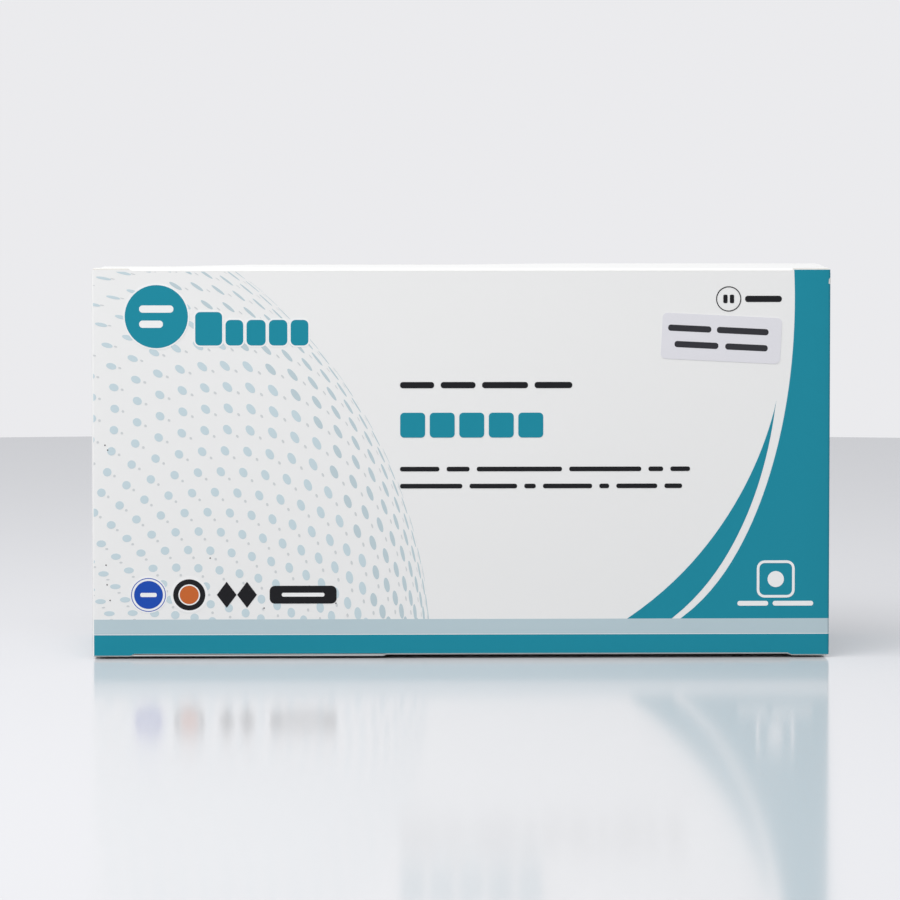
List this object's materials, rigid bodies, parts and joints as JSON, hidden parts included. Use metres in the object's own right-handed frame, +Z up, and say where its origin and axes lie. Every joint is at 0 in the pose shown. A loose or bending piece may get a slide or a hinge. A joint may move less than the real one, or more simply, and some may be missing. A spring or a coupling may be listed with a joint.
{
  "type": "folding carton",
  "caption": "Printed paperboard folding carton of a rapid test kit, with a hinged tuck-in lid at its top and at its bottom, dust flaps and a stuck-on label.",
  "frame": {"origin": "middle of the base, on the surface that the closed carton stands on", "axes": "+Z up, +X along the width to the right as seen from the front, -Y towards the printed front panel"},
  "size_m": [0.225, 0.0751, 0.119],
  "materials": {
    "board": "satin coated white board with teal print",
    "lid_board": "satin coated white board",
    "label_paper": "matt white label paper"
  },
  "bodies": {
    "carton": {"carton_body": "board", "front_label": "label_paper"},
    "top_lid": {"top_lid": "lid_board"},
    "bottom_lid": {"bottom_lid": "lid_board"}
  },
  "joints": [
    {"name": "top_lid_hinge", "type": "hinge", "parent": "carton", "child": "top_lid", "pos_m": [0, 0.0375, 0.119], "axis": [-1, 0, 0], "range_deg": [0, 180]},
    {"name": "bottom_lid_hinge", "type": "hinge", "parent": "carton", "child": "bottom_lid", "pos_m": [0, 0.0375, 0], "axis": [1, 0, 0], "range_deg": [0, 180]}
  ]
}
